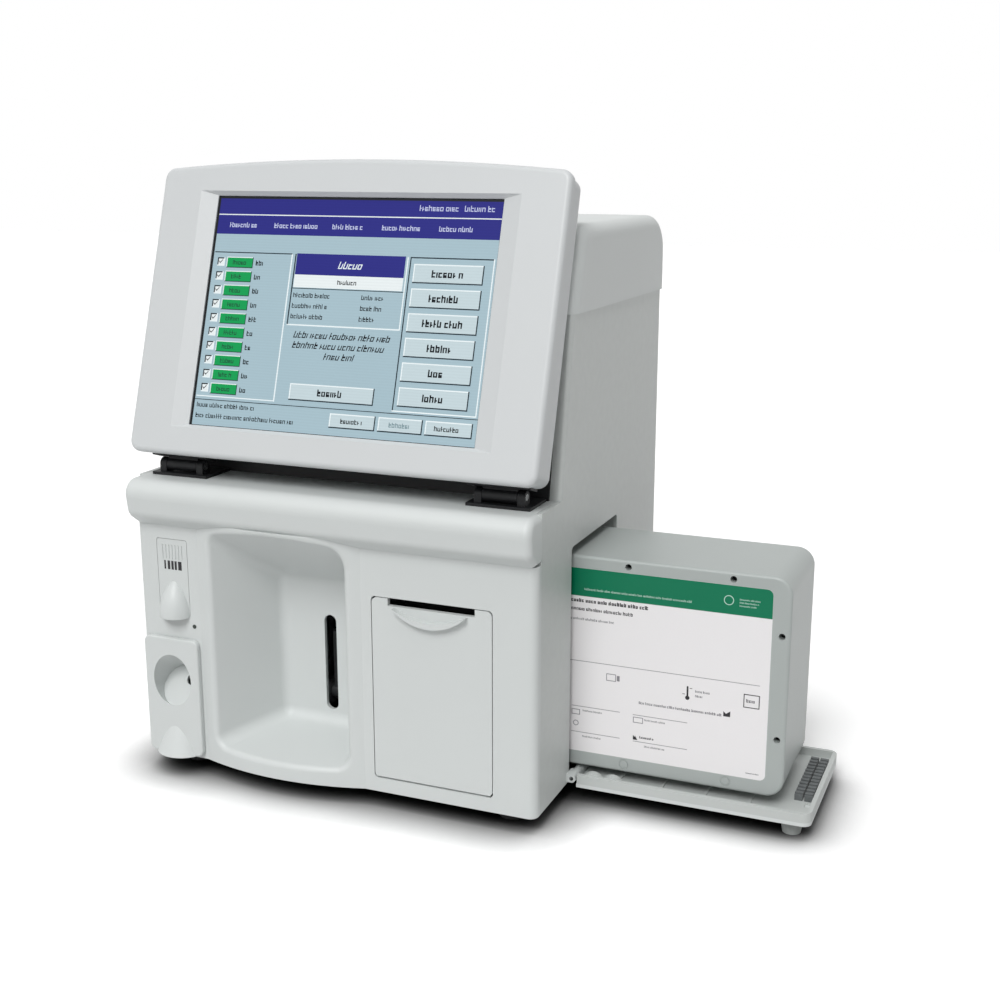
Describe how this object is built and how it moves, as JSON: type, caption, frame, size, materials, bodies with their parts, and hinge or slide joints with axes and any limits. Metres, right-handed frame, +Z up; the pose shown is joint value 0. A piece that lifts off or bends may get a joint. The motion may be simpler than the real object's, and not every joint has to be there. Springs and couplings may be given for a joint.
{
  "type": "coagulation analyzer",
  "caption": "Bench-top blood clotting analyzer with a tilting touch display, recessed sample bay, paper printer, ampoule drawer, side cartridge and fold-down side door.",
  "frame": {"origin": "centre of the case's flat underside; the feet reach 12 mm below it", "axes": "+X to the user's right, towards the cartridge; +Y to the back; +Z up"},
  "size_m": [0.4675, 0.2792, 0.4281],
  "materials": {
    "case_light_grey": "fine moulded texture, satin",
    "cover_painted_grey": "powder coat, fine grain",
    "bezel_grey": "fine moulded texture, satin",
    "cartridge_grey": "smooth moulded, satin",
    "black_plastic": "moulded, satin",
    "dark_grey_plastic": "moulded, satin",
    "rubber_black": "matt",
    "pad_rubber": "matt, ribbed",
    "label_print": "laminated film, semi-gloss",
    "screen_glass": "smooth, slightly reflective",
    "screen_image": "lit panel",
    "window_red": "dark red filter",
    "indicator_green": "translucent",
    "steel_zinc": "zinc plated",
    "steel_pin": "ground and polished",
    "aluminium_plate": "mill finish",
    "board_green": "solder mask, semi-gloss",
    "paper_white": "thermal paper",
    "pouch_film": "soft film",
    "gear_white": "acetal"
  },
  "bodies": {
    "case": {"base_pan": "steel_zinc", "feet": "rubber_black", "front_fascia": "case_light_grey", "left_shell": "cover_painted_grey", "right_shell": "cover_painted_grey", "upper_front_panel": "cover_painted_grey", "neck_cover": "black_plastic", "rear_panel": "cover_painted_grey", "top_cap": "case_light_grey", "case_screws": "steel_zinc", "reader_cover": "case_light_grey", "reader_window": "window_red", "indicator_lens": "indicator_green", "drawer_runners": "steel_zinc", "sampler_bracket": "aluminium_plate", "sampler_motor": "steel_zinc", "printer_chassis": "dark_grey_plastic", "printer_frame": "steel_zinc", "print_head": "aluminium_plate", "printer_motor": "steel_zinc", "printer_rods": "steel_pin", "hinge_brackets": "black_plastic", "hinge_pins": "steel_pin", "cartridge_rails": "dark_grey_plastic", "drive_plate": "aluminium_plate", "pump_motor": "steel_zinc", "contact_block": "black_plastic", "side_door_pin": "steel_pin", "side_door_brackets": "steel_zinc", "chassis_shelf": "steel_zinc", "main_board": "board_green", "power_supply": "steel_zinc", "fan_frame": "black_plastic", "power_inlet": "black_plastic"},
    "display": {"display_bezel": "bezel_grey", "display_rear_housing": "bezel_grey", "touch_glass": "screen_glass", "lcd_panel": "screen_image", "display_board": "board_green", "display_arms": "black_plastic"},
    "printer_door": {"printer_door": "case_light_grey"},
    "platen": {"platen_roller": "rubber_black"},
    "pinion": {"motor_pinion": "gear_white"},
    "paper": {"paper_roll": "paper_white"},
    "cartridge": {"cartridge_front_shell": "cartridge_grey", "cartridge_rear_shell": "cartridge_grey", "cartridge_label": "label_print", "cartridge_screws": "steel_zinc", "reagent_pouches": "pouch_film"},
    "side_door": {"side_door_panel": "case_light_grey", "side_door_liner": "case_light_grey", "side_door_pads": "pad_rubber", "side_door_foot": "rubber_black"},
    "ampoule_drawer": {"ampoule_drawer_front": "case_light_grey", "ampoule_bin": "dark_grey_plastic"},
    "sampler": {"sampler_arm": "dark_grey_plastic", "sampler_needle": "steel_pin"},
    "pump_rotor": {"pump_rotor": "gear_white"},
    "fan_rotor": {"fan_rotor": "black_plastic"},
    "rocker": {"switch_rocker": "black_plastic"}
  },
  "joints": [
    {"name": "display_tilt", "type": "hinge", "parent": "case", "child": "display", "pos_m": [0, -0.11486, 0.20997], "axis": [1, 0, 0], "range_deg": [0, 15]},
    {"name": "printer_door_hinge", "type": "hinge", "parent": "case", "child": "printer_door", "pos_m": [0.0768, -0.129, 0.0156], "axis": [1, 0, 0], "range_deg": [0, 90]},
    {"name": "platen_spin", "type": "hinge", "parent": "case", "child": "platen", "pos_m": [0.0768, -0.1085, 0.118], "axis": [1, 0, 0], "continuous": true},
    {"name": "pinion_spin", "type": "hinge", "parent": "case", "child": "pinion", "pos_m": [0.0768, -0.10082, 0.10471], "axis": [1, 0, 0], "continuous": true},
    {"name": "paper_spin", "type": "hinge", "parent": "case", "child": "paper", "pos_m": [0.0768, -0.1, 0.0405], "axis": [1, 0, 0], "continuous": true},
    {"name": "cartridge_slide", "type": "slide", "parent": "case", "child": "cartridge", "axis": [-1, 0, 0], "range_m": [-0.02, 0.1455]},
    {"name": "side_door_hinge", "type": "hinge", "parent": "case", "child": "side_door", "pos_m": [0.1535, -0.0195, 0.0045], "axis": [0, -1, 0], "range_deg": [0, 3]},
    {"name": "ampoule_drawer_slide", "type": "slide", "parent": "case", "child": "ampoule_drawer", "axis": [0, -1, 0], "range_m": [0, 0.05]},
    {"name": "sampler_swing", "type": "hinge", "parent": "case", "child": "sampler", "pos_m": [-0.023, -0.075, 0.043], "axis": [1, 0, 0], "range_deg": [0, 80]},
    {"name": "pump_spin", "type": "hinge", "parent": "case", "child": "pump_rotor", "pos_m": [0.03, 0.0325, 0.0855], "axis": [0, 1, 0], "continuous": true},
    {"name": "fan_spin", "type": "hinge", "parent": "case", "child": "fan_rotor", "pos_m": [0.062, 0.122, 0.24], "axis": [0, 1, 0], "continuous": true},
    {"name": "switch_rock", "type": "hinge", "parent": "case", "child": "rocker", "pos_m": [-0.096, 0.1285, 0.066], "axis": [1, 0, 0], "range_deg": [-16, 0]}
  ],
  "couplings": [
    {"joint": "pinion_spin", "follows": "platen_spin", "ratio": -2.1667}
  ]
}
